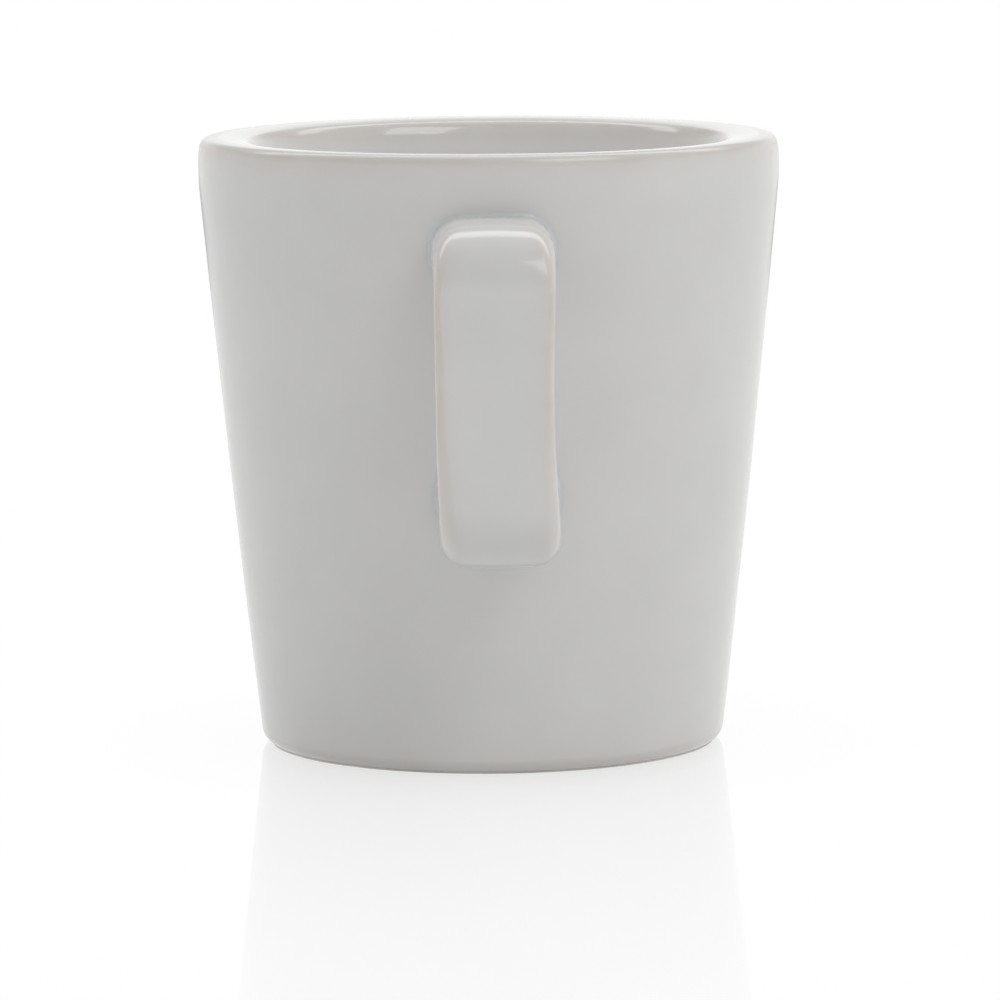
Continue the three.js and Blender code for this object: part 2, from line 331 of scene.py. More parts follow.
def rootRing(root, inset, share, flare, height):
    # One ring of a root: the strap's outline, drawn in by share or spread by flare, at a height off
    # the wall
    face, aside, edges = root
    outward = Vector((abs(face["normal"].y), -face["normal"].x * math.copysign(1, face["normal"].y)))
    start = face["normal"] * (face["distance"] - handle["thickness"] / 2)
    ring = []
    for x, q, nx, nq in strapSlice(handle["rootWidth"], handle["thickness"], edges, inset):
        sideX = aside + x * share + nx * flare
        level = start + face["normal"] * (q * share + nq * flare)
        ring.append(place(sideX, wallHit(sideX, level, outward, inset) + outward * height))
    return ring


def rootRings(root, inset):  # from the strap down the fillet onto the wall
    fillet = handle["rootFillet"] + inset
    rings = []
    for i in range(fine["flare"] + 1):
        angle = halfTurn + quarterTurn * i / fine["flare"]
        flare, height = fillet * (1 + math.cos(angle)), fillet * (1 + math.sin(angle))
        rings.append(rootRing(root, inset, 1, flare, height))
    return rings


roots = [
    (upperFace, handle["upperAside"], handle["upperEdge"]),
    (lowerFace, handle["lowerAside"], handle["lowerEdge"]),
]


def armRings(start, end):  # straight between two rings, both left out
    rings = []
    for i in range(1, fine["arm"]):
        rings.append([a.lerp(b, i / fine["arm"]) for a, b in zip(start, end)])
    return rings


def strapRings(upperEnd, lowerEnd, inset):  # from one root to the other, both ends included
    upperBend = bendStations(upperFace, frontFace, handle["upperEdge"], handle["upperCorner"])
    lowerBend = bendStations(frontFace, lowerFace, handle["lowerCorner"], handle["lowerEdge"])
    top, across, thickness, _ = upperBend[-1]
    grip = []
    for i in range(1, fine["grip"]):
        t = i / fine["grip"]
        upper, lower = 1 - ease(0, handle["cornerFade"], t), ease(1 - handle["cornerFade"], 1, t)
        shares = zip(handle["gripEdge"], handle["upperCorner"], handle["lowerCorner"])
        edges = tuple(a + (b - a) * upper + (c - a) * lower for a, b, c in shares)
        grip.append((top.lerp(lowerBend[0][0], t), across, thickness, edges))
    bends = [stationRing(station, inset) for station in upperBend + grip + lowerBend]
    return [upperEnd, *armRings(upperEnd, bends[0]), *bends, *armRings(bends[-1], lowerEnd), lowerEnd]


class Skin:  # points and faces as they are laid down
    def __init__(self):
        self.points = []
        self.faces = []

    def ring(self, points):
        first = len(self.points)
        self.points.extend(points)
        return list(range(first, len(self.points)))

    def bridge(self, one, two):  # closed rings with equal numbers of points
        count = len(one)
        for j in range(count):
            k = (j + 1) % count
            self.faces.append((one[j], one[k], two[k], two[j]))

    def cap(self, ring, point, facing):  # closes a ring with one middle point
        middle = self.ring([point])[0]
        count = len(ring)
        for j in range(count):
            pair = (ring[j], ring[(j + 1) % count])
            self.faces.append((*pair, middle) if facing else (*pair[::-1], middle))


# Columns round the cup: the handle's patch first, then the rest of the turn
patch = {
    "halfAngle": math.radians(21),
    "margin": 4 * mm,
    "crowding": 1.5,  # how closely the patch's rings crowd toward a root
}
patchColumns = sideCounts[0]
angles = spread(-patch["halfAngle"], patch["halfAngle"], patchColumns)
angles += spread(patch["halfAngle"], 2 * halfTurn - patch["halfAngle"], fine["around"])


def turn(skin, profile):  # rings round the axis, one for each point of a profile
    return [skin.ring([onCup(p.x, angle, p.y) for angle in angles]) for p in profile]


def baseProfile(inset):
    start = -math.radians(cup["glazeLineAngle"])
    turns = spread(start, -wallLean(baseCentre.y), fine["base"])
    return [arcPoint(baseCentre, cup["baseRound"] - inset, angle) for angle in turns]


def ovalRun(centre, reach, squareness, start, end, inset, steps):
    shrunk = [r - inset for r in reach]
    turns = np.linspace(start, end, fine["ovalSearch"])
    return evenly([ovalPoint(centre, shrunk, squareness, angle) for angle in turns], steps)


def lipProfile(inset):
    return ovalRun(lipCentre, lipOval, cup["lipSquareness"], lipStart, quarterTurn, inset, fine["lip"])


def insideProfile(inset):  # from the crest of the lip down to the floor, without its middle
    cornerZ = cup["floorThickness"] + cup["insideCornerRound"]
    corner = Vector((insideRadius(cornerZ) - cup["insideCornerRound"] / math.cos(insideLean), cornerZ))
    cornerTurns = spread(-insideLean, -quarterTurn, fine["base"])
    lipRun = ovalRun(innerCentre, innerOval, 2, innerStart, innerEnd, inset, fine["innerLip"])
    cornerStart = arcPoint(corner, cup["insideCornerRound"] + inset, -insideLean)
    floorStart = arcPoint(corner, cup["insideCornerRound"] + inset, -quarterTurn)
    crest = Vector((lipCentre.x, cup["height"] - inset))
    edge = lipRun[0]
    land = []
    for t in spread(0, 1, fine["land"]):  # level at the crest, and falling toward the inside edge
        land.append(Vector((lerp(crest.x, edge.x, t), lerp(crest.y, edge.y, t * t))))
    middle = Vector((0, floorStart.y))
    return [
        *land,
        *lipRun[:-1],
        *[lipRun[-1].lerp(cornerStart, t) for t in spread(0, 1, fine["inside"])],
        *[arcPoint(corner, cup["insideCornerRound"] + inset, angle) for angle in cornerTurns],
        *[floorStart.lerp(middle, t) for t in spread(0, 1, fine["floor"])],
    ]


def patchBounds(root):  # heights on the wall that a root's patch takes up
    heights = [p.z for p in rootRings(root, 0)[-1]]
    return min(heights) - patch["margin"], min(max(heights) + patch["margin"], wallTop)


upperPatch, lowerPatch = [patchBounds(root) for root in roots]
patchRows = sideCounts[1]
wallHeights = [
    *spread(wallBottom, lowerPatch[0], fine["wallBelow"]),
    *spread(lowerPatch[0], lowerPatch[1], patchRows),
    *spread(lowerPatch[1], upperPatch[0], fine["wallBetween"]),
    *spread(upperPatch[0], upperPatch[1], patchRows),
    *([upperPatch[1]] if upperPatch[1] < wallTop else []),
]


def patchEdge(rows, plusRow, minusRow):
    # Grid points round a patch, in the same order as the points of a slice of the strap
    step = 1 if minusRow > plusRow else -1
    edge = [rows[plusRow][c] for c in range(patchColumns, 0, -1)]
    edge += [rows[r][0] for r in range(plusRow, minusRow, step)]
    edge += [rows[minusRow][c] for c in range(patchColumns)]
    edge += [rows[r][patchColumns] for r in range(minusRow, plusRow, -step)]
    return edge


def outsideSkin(inset):
    # The outer face of the dipped coat: the wall's grid with two patches left open for the handle's roots
    skin = Skin()
    wall = [Vector((wallRadius(z) - inset / math.cos(wallLean(z)), z)) for z in wallHeights]
    base = baseProfile(inset)
    rows = turn(skin, base + wall + lipProfile(inset))
    lowerStart = len(base) + fine["wallBelow"]
    upperStart = lowerStart + patchRows + fine["wallBetween"]
    holes = [range(lowerStart, lowerStart + patchRows), range(upperStart, upperStart + patchRows)]
    columns = len(angles)
    for r in range(len(rows) - 1):
        holed = any(r in hole for hole in holes)
        for c in range(patchColumns if holed else 0, columns):
            d = (c + 1) % columns
            skin.faces.append((rows[r][c], rows[r][d], rows[r + 1][d], rows[r + 1][c]))
    edges = [
        patchEdge(rows, upperStart + patchRows, upperStart),
        patchEdge(rows, lowerStart, lowerStart + patchRows),
    ]
    flares = [rootRings(root, inset) for root in roots]
    blends = []
    for edge, flare in zip(edges, flares):
        loops = []
        for i in range(1, fine["blend"]):
            t = (i / fine["blend"]) ** patch["crowding"]
            loop = []
            for foot, corner in zip(flare[-1], edge):
                end = skin.points[corner]
                footAngle = math.atan2(foot.x, axisY - foot.y)
                endAngle = math.atan2(end.x, axisY - end.y)
                loop.append(onWall(lerp(footAngle, endAngle, t), lerp(foot.z, end.z, t), inset))
            loops.append(loop)
        blends.append(loops)
    strap = strapRings(flares[0][0], flares[1][0], inset)
    loops = [*blends[0][::-1], *flares[0][:0:-1], *strap, *flares[1][1:], *blends[1]]
    chain = [edges[0], *[skin.ring(loop) for loop in loops], edges[1]]
    for one, two in zip(chain, chain[1:]):
        skin.bridge(one, two)
    return skin, rows[0], rows[-1]


def insideSkin(inset):
    skin = Skin()
    rows = turn(skin, insideProfile(inset))
    for one, two in zip(rows, rows[1:]):
        skin.bridge(one, two)
    skin.cap(rows[-1], onCup(0, 0, cup["floorThickness"] - inset), True)
    return skin, rows[0]


coatFlow = {
    "thinFrom": 0.08,  # turn for each millimetre at which the coat starts to thin on an edge
    "thinOver": 0.26,
    "poolShadeFrom": 0.03,  # the same for pooling in a hollow, where the colour is also painted darker as shade
    "poolShadeOver": 0.3,
    "soften": 3,
    "drain": 0.6,  # the coat runs down from the rim to a height, which thins it by this share
    "drainTo": 88 * mm,
    "doubled": 0.9 * mm,  # on the crest of the lip both coats lie over each other, so it stays white
}
leastSquare = 1e-12  # an edge's squared length is taken as no less


def bendMasks(skin, soften):
    # Where the coat thins over edges and where it pools in hollows (a mask that also carries painted
    # shade), from the surface's own curvature
    mesh = bpy.data.meshes.new("bend")
    mesh.from_pydata(skin.points, [], skin.faces)
    mesh.update()
    points = np.array([v.co for v in mesh.vertices])
    normals = np.array([n.vector for n in mesh.vertex_normals])
    edges = np.array([e.vertices[:] for e in mesh.edges])
    bpy.data.meshes.remove(mesh)
    a, b = edges[:, 0], edges[:, 1]
    along = points[b] - points[a]
    bend = ((normals[b] - normals[a]) * along).sum(1) / np.maximum((along * along).sum(1), leastSquare)
    total = np.zeros(len(points))
    count = np.zeros(len(points))
    for end in (a, b):
        np.add.at(total, end, bend)
        np.add.at(count, end, 1)
    bend = total / np.maximum(count, 1) * mm  # turn for each millimetre
    up = points[:, 2]
    drained = np.clip((up - coatFlow["drainTo"]) / (cup["height"] - coatFlow["drainTo"]), 0, 1)
    single = np.clip((cup["height"] - up) / coatFlow["doubled"], 0, 1)
    thin = (bend - coatFlow["thinFrom"]) / coatFlow["thinOver"] + coatFlow["drain"] * drained
    thin = np.clip(thin, 0, 1) * single
    poolAndShade = np.clip((-bend - coatFlow["poolShadeFrom"]) / coatFlow["poolShadeOver"], 0, 1)
    for _ in range(soften):
        for mask in (thin, poolAndShade):
            near = np.zeros(len(points))
            np.add.at(near, a, mask[b])
            np.add.at(near, b, mask[a])
            mask[:] = (mask + near / np.maximum(count, 1)) / 2
    return thin, poolAndShade, normals


ripple = {"depth": 0.035 * mm, "length": 17 * mm}  # slow unevenness of the dipped surface


def rippled(skin, normals):
    moved = []
    for point, normal in zip(skin.points, normals):
        wave = noise.noise(Vector(point) / ripple["length"])
        moved.append(Vector(point) + Vector(normal) * wave * ripple["depth"])
    return moved


def coatShell(outer, inner):
    # One closed coat from its outer skin and the skin it lies on
    thin, poolAndShade, normals = bendMasks(outer, coatFlow["soften"])
    shell = Skin()
    shell.ring(rippled(outer, normals))
    shell.faces.extend(outer.faces)
    start = len(shell.points)
    shell.ring(inner.points)
    shell.faces.extend(tuple(start + i for i in face[::-1]) for face in inner.faces)
    rest = np.zeros(len(inner.points))
    return shell, start, np.concatenate([thin, rest]), np.concatenate([poolAndShade, rest])


def addNode(tree, kind, **settings):
    node = tree.nodes.new(kind)
    for key, value in settings.items():
        setattr(node, key, value)
    return node


def feed(tree, socket, value):  # a link from a socket, or a plain value
    if isinstance(value, bpy.types.NodeSocket):
        tree.links.new(value, socket)
    else:
        socket.default_value = value


mixSockets = {"factor": 0, "a": 6, "b": 7, "result": 2}  # where a Mix node keeps its sockets for colours


def mixColour(tree, factor, a, b, blend="MIX"):
    node = addNode(tree, "ShaderNodeMix", data_type="RGBA", blend_type=blend)
    for label, value in (("factor", factor), ("a", a), ("b", b)):
        feed(tree, node.inputs[mixSockets[label]], value)
    return node.outputs[mixSockets["result"]]


def calc(tree, operation, a, b=0.0, clamp=False):
    node = addNode(tree, "ShaderNodeMath", operation=operation, use_clamp=clamp)
    feed(tree, node.inputs[0], a)
    feed(tree, node.inputs[1], b)
    return node.outputs[0]


def mapRange(tree, value, low, high, toLow, toHigh, kind="LINEAR"):
    node = addNode(tree, "ShaderNodeMapRange", interpolation_type=kind)
    feed(tree, node.inputs["Value"], value)
    for label, setting in zip(("From Min", "From Max", "To Min", "To Max"), (low, high, toLow, toHigh)):
        feed(tree, node.inputs[label], setting)
    return node.outputs["Result"]


def noiseAt(tree, where, length, detail=2.0, shift=0.0):  # length is the size of a patch of noise
    node = addNode(tree, "ShaderNodeTexNoise", noise_dimensions="4D")
    feed(tree, node.inputs["Vector"], where)
    feed(tree, node.inputs["W"], shift)
    feed(tree, node.inputs["Scale"], 1 / length)
    feed(tree, node.inputs["Detail"], detail)
    return node.outputs["Fac"]


def cellsAt(tree, where, length):  # length is the size of a cell
    node = addNode(tree, "ShaderNodeTexVoronoi", feature="F1")
    feed(tree, node.inputs["Vector"], where)
    feed(tree, node.inputs["Scale"], 1 / length)
    return node.outputs


def greyOf(tree, value):
    node = addNode(tree, "ShaderNodeCombineColor")
    for label in ("Red", "Green", "Blue"):
        feed(tree, node.inputs[label], value)
    return node.outputs["Color"]


def newGroup(name, inputs, outputs):
    group = bpy.data.node_groups.new(name, "ShaderNodeTree")
    for label, kind, value in inputs:
        socket = group.interface.new_socket(label, in_out="INPUT", socket_type=kind)
        socket.default_value = value
    for label, kind in outputs:
        group.interface.new_socket(label, in_out="OUTPUT", socket_type=kind)
    return group, group.nodes.new("NodeGroupInput"), group.nodes.new("NodeGroupOutput")


noiseBand = (0.3, 0.7)  # most of a noise lies between these

glazeMarks = {
    "edgePatch": 4 * mm,  # patches that break up the warm edges
    "edgeShare": (0.55, 1.25),
    "cloudPatch": 14 * mm,
    "speckCell": 11 * mm,
    "speckSize": (0.012, 0.026),  # as shares of a cell
    "speckDepth": 0.75,
    "edgeRough": 0.06,
    "smearPatch": 22 * mm,
    "smearRough": 0.035,
}


def makeGlazeColour():
    # White glaze that warms where it thins, cools where it pools and is painted darker there as shade in
    # the hollows, clouds a little and carries iron specks
    group, given, result = newGroup(
        "glazeColour",
        [
            ("Glaze", "NodeSocketColor", (0.75, 0.74, 0.72, 1)),
            ("Thin Glaze", "NodeSocketColor", (0.728, 0.678, 0.632, 1)),
            # pooled glaze: the bluish tint of pooled coat, and also painted shade, darker than the glaze
            ("Pooled Glaze With Painted Shade", "NodeSocketColor", (0.685, 0.688, 0.698, 1)),
            ("Speck", "NodeSocketColor", (0.16, 0.11, 0.07, 1)),
            ("Thin", "NodeSocketFloat", 0.0),
            ("Pool And Shade", "NodeSocketFloat", 0.0),
            ("Clouding", "NodeSocketFloat", 0.03),
            ("Speckling", "NodeSocketFloat", 0.2),
            ("Gloss", "NodeSocketFloat", 0.1),
        ],
        [("Color", "NodeSocketColor"), ("Roughness", "NodeSocketFloat")],
    )
    where = addNode(group, "ShaderNodeTexCoord").outputs["Object"]
    patches = noiseAt(group, where, glazeMarks["edgePatch"], detail=3.0)
    broken = mapRange(group, patches, *noiseBand, *glazeMarks["edgeShare"])
    thin = calc(group, "MULTIPLY", given.outputs["Thin"], broken, True)
    colour = mixColour(group, thin, given.outputs["Glaze"], given.outputs["Thin Glaze"])
    colour = mixColour(group, given.outputs["Pool And Shade"], colour, given.outputs["Pooled Glaze With Painted Shade"])
    clouds = noiseAt(group, where, glazeMarks["cloudPatch"], detail=3.0, shift=2.0)
    cloud = mapRange(group, clouds, *noiseBand, -1.0, 1.0)
    shade = calc(group, "ADD", calc(group, "MULTIPLY", cloud, given.outputs["Clouding"]), 1.0)
    colour = mixColour(group, 1.0, colour, greyOf(group, shade), "MULTIPLY")
    cells = cellsAt(group, where, glazeMarks["speckCell"])
    chance = addNode(group, "ShaderNodeSeparateColor")
    feed(group, chance.inputs["Color"], cells["Color"])
    chosen = calc(group, "LESS_THAN", chance.outputs["Red"], given.outputs["Speckling"])
    size = mapRange(group, chance.outputs["Green"], 0.0, 1.0, *glazeMarks["speckSize"])
    spot = calc(group, "LESS_THAN", cells["Distance"], size)
    speck = calc(group, "MULTIPLY", calc(group, "MULTIPLY", chosen, spot), glazeMarks["speckDepth"])
    colour = mixColour(group, speck, colour, given.outputs["Speck"])
    feed(group, result.inputs["Color"], colour)
    worn = calc(group, "MULTIPLY", thin, glazeMarks["edgeRough"])
    smears = noiseAt(group, where, glazeMarks["smearPatch"], shift=5.0)
    smear = mapRange(group, smears, *noiseBand, 0.0, glazeMarks["smearRough"])
    rough = calc(group, "ADD", calc(group, "ADD", worn, smear), given.outputs["Gloss"])
    feed(group, result.inputs["Roughness"], rough)
    return group


glazeRelief = {
    "wave": 9 * mm,
    "peel": 1.6 * mm,
    "pitCell": 13 * mm,
    "pitSize": 0.02,  # as a share of a cell
}


def makeGlazeSkin():
    # Relief of the fired coat: slow ripples, a faint orange peel and a few pinholes
    group, given, result = newGroup(
        "glazeSkin",
        [("Peel", "NodeSocketFloat", 0.2), ("Pits", "NodeSocketFloat", 0.5)],
        [("Height", "NodeSocketFloat")],
    )
    where = addNode(group, "ShaderNodeTexCoord").outputs["Object"]
    slow = noiseAt(group, where, glazeRelief["wave"], detail=1.0)
    peel = noiseAt(group, where, glazeRelief["peel"], detail=1.0, shift=3.0)
    peel = calc(group, "MULTIPLY", peel, given.outputs["Peel"])
    cells = cellsAt(group, where, glazeRelief["pitCell"])
    pit = mapRange(group, cells["Distance"], 0.0, glazeRelief["pitSize"], 1.0, 0.0)
    pit = calc(group, "MULTIPLY", pit, given.outputs["Pits"])
    feed(group, result.inputs["Height"], calc(group, "SUBTRACT", calc(group, "ADD", slow, peel), pit))
    return group


clayMarks = {
    "patch": 6 * mm,
    "patchShade": (0.9, 1.06),
    "sand": 0.5 * mm,
    "grogBand": (0.6, 0.72),  # the coarsest of the sand shows as grog
    "rough": (0.75, 0.92),
}


def makeClayGrain():
    # Fired clay: sandy colour, darker grog grains and a gritty relief
    group, given, result = newGroup(
        "clayGrain",
        [
            ("Clay", "NodeSocketColor", (0.7, 0.65, 0.56, 1)),
            ("Grog", "NodeSocketColor", (0.42, 0.34, 0.25, 1)),
            ("Grain", "NodeSocketFloat", 0.35),
        ],
        [("Color", "NodeSocketColor"), ("Roughness", "NodeSocketFloat"), ("Height", "NodeSocketFloat")],
    )
    where = addNode(group, "ShaderNodeTexCoord").outputs["Object"]
    patches = noiseAt(group, where, clayMarks["patch"], detail=3.0)
    patchy = mapRange(group, patches, *noiseBand, *clayMarks["patchShade"])
    sand = noiseAt(group, where, clayMarks["sand"], shift=1.0)
    grains = mapRange(group, sand, *clayMarks["grogBand"], 0.0, 1.0)
    grains = calc(group, "MULTIPLY", grains, given.outputs["Grain"])
    colour = mixColour(group, grains, given.outputs["Clay"], given.outputs["Grog"])
    colour = mixColour(group, 1.0, colour, greyOf(group, patchy), "MULTIPLY")
    feed(group, result.inputs["Color"], colour)
    feed(group, result.inputs["Roughness"], mapRange(group, sand, *noiseBand, *clayMarks["rough"]))
    feed(group, result.inputs["Height"], sand)
    return group


glazeColour = makeGlazeColour()
glazeSkin = makeGlazeSkin()
clayGrain = makeClayGrain()
print("node groups ready")


def newFinish(name):
    finish = bpy.data.materials.new(name)
    finish.use_nodes = True
    return finish, finish.node_tree, finish.node_tree.nodes["Principled BSDF"]


def placeGroup(tree, group, values):
    node = addNode(tree, "ShaderNodeGroup", node_tree=group)
    for label, value in values.items():
        feed(tree, node.inputs[label], value)
    return node


def addRelief(tree, shader, height, depth, strength):
    bump = addNode(tree, "ShaderNodeBump")
    feed(tree, bump.inputs["Strength"], strength)
    feed(tree, bump.inputs["Distance"], depth)
    feed(tree, bump.inputs["Height"], height)
    feed(tree, shader.inputs["Normal"], bump.outputs["Normal"])


def glazeFinish(name, look):
    finish, tree, shader = newFinish(name)
    thin = addNode(tree, "ShaderNodeAttribute", attribute_name="thin").outputs["Fac"]
    poolAndShade = addNode(tree, "ShaderNodeAttribute", attribute_name="poolAndShade").outputs["Fac"]
    colour = placeGroup(tree, glazeColour, {**look["colour"], "Thin": thin, "Pool And Shade": poolAndShade})
    skin = placeGroup(tree, glazeSkin, look["skin"])
    feed(tree, shader.inputs["Base Color"], colour.outputs["Color"])
    feed(tree, shader.inputs["Roughness"], colour.outputs["Roughness"])
    shader.inputs["IOR"].default_value = look["ior"]
    addRelief(tree, shader, skin.outputs["Height"], look["reliefDepth"], look["reliefStrength"])
    return finish


def clayFinish(name, look):
    finish, tree, shader = newFinish(name)
    grain = placeGroup(tree, clayGrain, look["grain"])
    feed(tree, shader.inputs["Base Color"], grain.outputs["Color"])
    feed(tree, shader.inputs["Roughness"], grain.outputs["Roughness"])
    addRelief(tree, shader, grain.outputs["Height"], look["reliefDepth"], look["reliefStrength"])
    return finish


dippedGlaze = {
    "colour": {"Glaze": (0.757, 0.751, 0.743, 1), "Clouding": 0.02, "Speckling": 0.16, "Gloss": 0.15},
    "skin": {"Peel": 0.15, "Pits": 0.5},
    "ior": 1.53,
    "reliefDepth": 0.02 * mm,
    "reliefStrength": 0.5,
}
# The inside coat is the same white glaze as outside; its colour is painted lighter as painted light for the
# shaded inside of the cup
linerGlazePaintedLight = {
    "colour": {"Glaze": (0.81, 0.804, 0.792, 1), "Clouding": 0.02, "Speckling": 0.12, "Gloss": 0.06},
    "skin": {"Peel": 0.12, "Pits": 0.5},
    "ior": 1.53,
    "reliefDepth": 0.02 * mm,
    "reliefStrength": 0.5,
}
baseGlaze = {
    "colour": {"Glaze": (0.72, 0.705, 0.675, 1), "Clouding": 0.05, "Speckling": 0.35, "Gloss": 0.12},
    "skin": {"Peel": 0.4, "Pits": 0.8},
    "ior": 1.53,
    "reliefDepth": 0.04 * mm,
    "reliefStrength": 0.6,
}
# Bare clay, painted lighter than the clay's own cream as painted light, so that the wiped foot in the mug's
# shade shows bright
bareClayPaintedLight = {
    "grain": {"Clay": (0.93, 0.885, 0.84, 1), "Grain": 0.1},
    "reliefDepth": 0.03 * mm,
    "reliefStrength": 0.3,
}
jointSlip = {
    "grain": {"Clay": (0.62, 0.57, 0.48, 1), "Grain": 0.15},
    "reliefDepth": 0.04 * mm,
    "reliefStrength": 0.4,
}
dippedFinish = glazeFinish("dipped_white_glaze", dippedGlaze)
linerFinishPaintedLight = glazeFinish("liner_white_glaze_painted_light", linerGlazePaintedLight)
baseFinish = glazeFinish("underside_glaze", baseGlaze)
clayBarePaintedLight = clayFinish("bare_stoneware_painted_light", bareClayPaintedLight)
slipFinish = clayFinish("joint_slip", jointSlip)
print("finishes ready")

creaseAngle = math.radians(40)


def addPiece(name, skin, finish, slotName, *nodes):
    mesh = bpy.data.meshes.new(name)
    mesh.from_pydata(skin.points, [], skin.faces)
    mesh.validate()
    mesh.shade_smooth()
    mesh.set_sharp_from_angle(angle=creaseAngle)
    mesh.materials.append(finish)
    piece = bpy.data.objects.new(name, mesh)
    bpy.context.scene.collection.objects.link(piece)
    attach(piece, "root")
    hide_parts(*nodes)
    print("made", name, "with", len(skin.faces), "faces")
    return piece


def addMask(piece, name, values):
    mask = piece.data.attributes.new(name, "FLOAT", "POINT")
    mask.data.foreach_set("value", values.astype(np.float32))


def makeOutsideCoat():
    outer, outerFoot, outerCrest = outsideSkin(0)
    inner, innerFoot, innerCrest = outsideSkin(cup["glazeThickness"])
    shell, start, thin, poolAndShade = coatShell(outer, inner)
    shell.bridge(outerCrest, [start + i for i in innerCrest])
    # The wiped edge at the foot, rounded over
    tangent = -math.radians(cup["glazeLineAngle"]) - quarterTurn
    edgeRows = [outerFoot]
    for i in range(1, fine["bead"]):
        t = i / fine["bead"]
        swell = cup["glazeBead"] * math.sin(halfTurn * t)
        edge = []
        for a, b, angle in zip(outerFoot, innerFoot, angles):
            point = shell.points[a].lerp(inner.points[b], t)
            bulge = onCup(swell * math.cos(tangent), angle, swell * math.sin(tangent)) - onCup(0, angle, 0)
            edge.append(point + bulge)
        edgeRows.append(shell.ring(edge))
    edgeRows.append([start + i for i in innerFoot])
    for one, two in zip(edgeRows, edgeRows[1:]):
        shell.bridge(two, one)
    extra = np.zeros(len(shell.points) - len(thin))
    piece = addPiece("outside_coat", shell, dippedFinish, "outside_glaze", "outside_glaze")
    addMask(piece, "thin", np.concatenate([thin, extra + 1]))
    addMask(piece, "poolAndShade", np.concatenate([poolAndShade, extra]))


def makeInsideCoat():
    outer, outerCrest = insideSkin(0)
    inner, innerCrest = insideSkin(cup["glazeThickness"])
    shell, start, thin, poolAndShade = coatShell(outer, inner)
    shell.bridge([start + i for i in innerCrest], outerCrest)
    piece = addPiece("inside_coat", shell, linerFinishPaintedLight, "inside_glaze", "inside_glaze")
    addMask(piece, "thin", thin)
    addMask(piece, "poolAndShade", poolAndShade)


clayOutside = baseProfile(cup["glazeThickness"])
footRadius = clayOutside[0].x
recessMouth = footRadius - cup["footWidth"]
recessRadius = recessMouth - cup["recessFlare"]
clayUnderside = cup["recessDepth"] + cup["glazeThickness"]


def makeClayBody():
    inset = cup["glazeThickness"]
    edge = cup["footEdge"]
    innerCentre = Vector((recessMouth + edge, edge))
    outerCentre = Vector((footRadius + cup["footFlare"] - edge, edge))
    wall = [Vector((wallRadius(z) - inset / math.cos(wallLean(z)), z)) for z in wallHeights]
    profile = [
        *[Vector((t * recessRadius, clayUnderside)) for t in spread(0, 1, fine["recess"])[1:]],
        Vector((recessRadius, clayUnderside)),
        Vector((recessRadius, cup["recessDepth"])),
        *[arcPoint(innerCentre, edge, a) for a in spread(halfTurn, halfTurn + quarterTurn, fine["bead"])],
        *[arcPoint(outerCentre, edge, a) for a in spread(-quarterTurn, 0, fine["bead"])],
        *clayOutside,
        *wall,
        *lipProfile(inset),
        *insideProfile(inset)[1:],
    ]
    skin = Skin()
    rows = turn(skin, profile)
    for one, two in zip(rows, rows[1:]):
        skin.bridge(one, two)
    skin.cap(rows[0], onCup(0, 0, clayUnderside), False)
    skin.cap(rows[-1], onCup(0, 0, cup["floorThickness"] - inset), True)
    addPiece("stoneware_body", skin, clayBarePaintedLight, "clay", "mug_body")


def closeOnWall(skin, ring, root, height, facing):
    # Closes a root ring with a cap that follows the wall at that height off it
    inset = cup["glazeThickness"]
    last = ring
    for share in spread(1, 0, fine["rootCap"])[1:]:
        inner = skin.ring(rootRing(root, inset, share, 0, height))
        if facing:
            skin.bridge(last, inner)
        else:
            skin.bridge(inner, last)
        last = inner
    middle = sum((skin.points[i] for i in last), Vector()) / len(last)
    skin.cap(last, middle, facing)


def makeHandleCore():
    inset = cup["glazeThickness"]
    ends = [rootRings(root, inset)[0] for root in roots]
    height = handle["rootFillet"] + inset
    skin = Skin()
    rings = [skin.ring(ring) for ring in strapRings(*ends, inset)]
    for one, two in zip(rings, rings[1:]):
        skin.bridge(one, two)
    closeOnWall(skin, rings[0], roots[0], height, False)
    closeOnWall(skin, rings[-1], roots[1], height, True)
    addPiece("strap_core", skin, clayBarePaintedLight, "clay", "handle")


def makeCollar(name, root, node, outwardLast):
    inset = cup["glazeThickness"]
    height = handle["rootFillet"] + inset
    rings = rootRings(root, inset)
    if outwardLast:
        rings = rings[::-1]
    skin = Skin()
    loops = [skin.ring(ring) for ring in rings]
    for one, two in zip(loops, loops[1:]):
        skin.bridge(one, two)
    closeOnWall(skin, loops[0], root, 0 if outwardLast else height, False)
    closeOnWall(skin, loops[-1], root, height if outwardLast else 0, True)
    addPiece(name, skin, slipFinish, "slip", node)


baseCoat = {
    "rings": (0.2, 0.4, 0.6, 0.8, 0.93, 1),  # shares of the recess's radius
    "backRings": (1, 0.5),
    "thinFrom": 0.98,
}


def makeBaseCoat():
    low, high = cup["recessDepth"], clayUnderside
    skin = Skin()
    flat = [Vector((t * recessRadius, low)) for t in baseCoat["rings"]]
    back = [Vector((t * recessRadius, high)) for t in baseCoat["backRings"]]
    rows = turn(skin, flat + back)
    for one, two in zip(rows, rows[1:]):
        skin.bridge(one, two)
    skin.cap(rows[0], onCup(0, 0, low), False)
    skin.cap(rows[-1], onCup(0, 0, high), True)
    piece = addPiece("base_coat", skin, baseFinish, "base_glaze", "base_glaze")
    rimRadius = recessRadius * baseCoat["thinFrom"]
    rim = np.array([math.hypot(p.x, p.y - axisY) > rimRadius for p in skin.points], float)
    addMask(piece, "thin", rim)
    addMask(piece, "poolAndShade", np.zeros(len(skin.points)))


